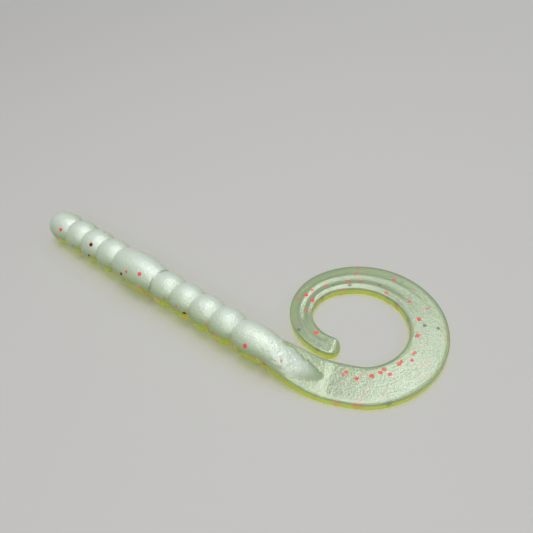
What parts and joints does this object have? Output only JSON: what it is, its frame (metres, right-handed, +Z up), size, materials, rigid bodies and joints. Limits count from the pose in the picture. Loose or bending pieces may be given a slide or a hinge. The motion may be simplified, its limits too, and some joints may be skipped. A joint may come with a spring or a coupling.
{
  "type": "soft plastic worm",
  "caption": "Soft plastic fishing worm with a segmented round body and a flat curl tail, in a pearl layer bonded on a green flake layer, that bends at its grooves.",
  "frame": {"origin": "centre of the small flat gate face on the nose, on the body's axis", "axes": "+X from the nose along the body towards the tail, +Y the side the tail curls to, +Z up"},
  "size_m": [0.0981, 0.0386, 0.0085],
  "materials": {
    "pearl_plastic": "soft translucent pearl with a wet-looking sheen and a few red flakes",
    "green_plastic": "soft translucent yellow-green, full of red and black hexagonal flakes"
  },
  "bodies": {
    "head": {"pearl_head": "pearl_plastic", "green_head": "green_plastic"},
    "ring_1": {"pearl_ring_1": "pearl_plastic", "green_ring_1": "green_plastic"},
    "ring_2": {"pearl_ring_2": "pearl_plastic", "green_ring_2": "green_plastic"},
    "ring_3": {"pearl_ring_3": "pearl_plastic", "green_ring_3": "green_plastic"},
    "band": {"pearl_band": "pearl_plastic", "green_band": "green_plastic"},
    "ring_4": {"pearl_ring_4": "pearl_plastic", "green_ring_4": "green_plastic"},
    "ring_5": {"pearl_ring_5": "pearl_plastic", "green_ring_5": "green_plastic"},
    "ring_6": {"pearl_ring_6": "pearl_plastic", "green_ring_6": "green_plastic"},
    "ring_7": {"pearl_ring_7": "pearl_plastic", "green_ring_7": "green_plastic"},
    "ring_8": {"pearl_ring_8": "pearl_plastic", "green_ring_8": "green_plastic"},
    "stem": {"pearl_stem": "pearl_plastic", "green_stem": "green_plastic"},
    "tail_1": {"pearl_tail_1": "pearl_plastic", "green_tail_1": "green_plastic"},
    "tail_2": {"pearl_tail_2": "pearl_plastic", "green_tail_2": "green_plastic"},
    "tail_3": {"pearl_tail_3": "pearl_plastic", "green_tail_3": "green_plastic"},
    "tail_4": {"pearl_tail_4": "pearl_plastic", "green_tail_4": "green_plastic"},
    "tail_5": {"pearl_tail_5": "pearl_plastic", "green_tail_5": "green_plastic"},
    "tail_6": {"pearl_tail_6": "pearl_plastic", "green_tail_6": "green_plastic"},
    "tail_7": {"pearl_tail_7": "pearl_plastic", "green_tail_7": "green_plastic"},
    "tail_8": {"pearl_tail_8": "pearl_plastic", "green_tail_8": "green_plastic"},
    "tail_9": {"pearl_tail_9": "pearl_plastic", "green_tail_9": "green_plastic"}
  },
  "joints": [
    {"name": "front_sideways", "type": "hinge", "parent": "head", "child": "ring_1", "pos_m": [0.0086, 0, 0.00007], "axis": [0, 0, 1], "range_deg": [-15, 15], "stiffness_Nm_per_rad": 0.004},
    {"name": "front_updown", "type": "hinge", "parent": "ring_1", "child": "ring_2", "pos_m": [0.0144, 0, 0.00015], "axis": [0, -1, 0], "range_deg": [-15, 15], "stiffness_Nm_per_rad": 0.004},
    {"name": "front_sideways_2", "type": "hinge", "parent": "ring_2", "child": "ring_3", "pos_m": [0.0202, 0, 0.00015], "axis": [0, 0, 1], "range_deg": [-15, 15], "stiffness_Nm_per_rad": 0.004},
    {"name": "front_updown_2", "type": "hinge", "parent": "ring_3", "child": "band", "pos_m": [0.026, 0, 0.00028], "axis": [0, -1, 0], "range_deg": [-15, 15], "stiffness_Nm_per_rad": 0.004},
    {"name": "rear_sideways", "type": "hinge", "parent": "band", "child": "ring_4", "pos_m": [0.0385, 0, 0.0002], "axis": [0, 0, 1], "range_deg": [-15, 15], "stiffness_Nm_per_rad": 0.004},
    {"name": "rear_updown", "type": "hinge", "parent": "ring_4", "child": "ring_5", "pos_m": [0.0443, 0, 0], "axis": [0, -1, 0], "range_deg": [-15, 15], "stiffness_Nm_per_rad": 0.004},
    {"name": "rear_sideways_2", "type": "hinge", "parent": "ring_5", "child": "ring_6", "pos_m": [0.0501, 0, 0], "axis": [0, 0, 1], "range_deg": [-15, 15], "stiffness_Nm_per_rad": 0.004},
    {"name": "rear_updown_2", "type": "hinge", "parent": "ring_6", "child": "ring_7", "pos_m": [0.0559, 0, 0], "axis": [0, -1, 0], "range_deg": [-15, 15], "stiffness_Nm_per_rad": 0.004},
    {"name": "rear_sideways_3", "type": "hinge", "parent": "ring_7", "child": "ring_8", "pos_m": [0.0617, 0, -0.00005], "axis": [0, 0, 1], "range_deg": [-15, 15], "stiffness_Nm_per_rad": 0.004},
    {"name": "rear_updown_3", "type": "hinge", "parent": "ring_8", "child": "stem", "pos_m": [0.0687, 0.0002, -0.0001], "axis": [0.076, -0.9971, 0], "range_deg": [-15, 15], "stiffness_Nm_per_rad": 0.004},
    {"name": "tail_flutter", "type": "hinge", "parent": "stem", "child": "tail_1", "pos_m": [0.08275, 0.00272, -0.0026], "axis": [0.2739, -0.9618, 0], "range_deg": [-15, 15], "stiffness_Nm_per_rad": 0.001},
    {"name": "tail_uncurl", "type": "hinge", "parent": "tail_1", "child": "tail_2", "pos_m": [0.08972, 0.00644, -0.0026], "axis": [0, 0, -1], "range_deg": [0, 20], "stiffness_Nm_per_rad": 0.001389},
    {"name": "tail_uncurl_2", "type": "hinge", "parent": "tail_2", "child": "tail_3", "pos_m": [0.09403, 0.01625, -0.0026], "axis": [0, 0, -1], "range_deg": [0, 20], "stiffness_Nm_per_rad": 0.001292},
    {"name": "tail_uncurl_3", "type": "hinge", "parent": "tail_3", "child": "tail_4", "pos_m": [0.09019, 0.02627, -0.0026], "axis": [0, 0, -1], "range_deg": [0, 20], "stiffness_Nm_per_rad": 0.001112},
    {"name": "tail_uncurl_4", "type": "hinge", "parent": "tail_4", "child": "tail_5", "pos_m": [0.08042, 0.03068, -0.0026], "axis": [0, 0, -1], "range_deg": [0, 20], "stiffness_Nm_per_rad": 0.00095},
    {"name": "tail_uncurl_5", "type": "hinge", "parent": "tail_5", "child": "tail_6", "pos_m": [0.07036, 0.02694, -0.0026], "axis": [0, 0, -1], "range_deg": [0, 20], "stiffness_Nm_per_rad": 0.00077},
    {"name": "tail_uncurl_6", "type": "hinge", "parent": "tail_6", "child": "tail_7", "pos_m": [0.06626, 0.01915, -0.0026], "axis": [0, 0, -1], "range_deg": [0, 20], "stiffness_Nm_per_rad": 0.00039},
    {"name": "tail_uncurl_7", "type": "hinge", "parent": "tail_7", "child": "tail_8", "pos_m": [0.06842, 0.01216, -0.0026], "axis": [0, 0, -1], "range_deg": [0, 20], "stiffness_Nm_per_rad": 0.000243},
    {"name": "tail_uncurl_8", "type": "hinge", "parent": "tail_8", "child": "tail_9", "pos_m": [0.07394, 0.00917, -0.0026], "axis": [0, 0, -1], "range_deg": [0, 20], "stiffness_Nm_per_rad": 0.000162}
  ],
  "couplings": [
    {"joint": "front_sideways_2", "follows": "front_sideways", "ratio": 1},
    {"joint": "front_updown_2", "follows": "front_updown", "ratio": 1},
    {"joint": "rear_sideways_2", "follows": "rear_sideways", "ratio": 1},
    {"joint": "rear_updown_2", "follows": "rear_updown", "ratio": 1},
    {"joint": "rear_sideways_3", "follows": "rear_sideways", "ratio": 1},
    {"joint": "rear_updown_3", "follows": "rear_updown", "ratio": 1},
    {"joint": "tail_uncurl_2", "follows": "tail_uncurl", "ratio": 1},
    {"joint": "tail_uncurl_3", "follows": "tail_uncurl", "ratio": 1},
    {"joint": "tail_uncurl_4", "follows": "tail_uncurl", "ratio": 1},
    {"joint": "tail_uncurl_5", "follows": "tail_uncurl", "ratio": 1},
    {"joint": "tail_uncurl_6", "follows": "tail_uncurl", "ratio": 1},
    {"joint": "tail_uncurl_7", "follows": "tail_uncurl", "ratio": 1},
    {"joint": "tail_uncurl_8", "follows": "tail_uncurl", "ratio": 1}
  ]
}
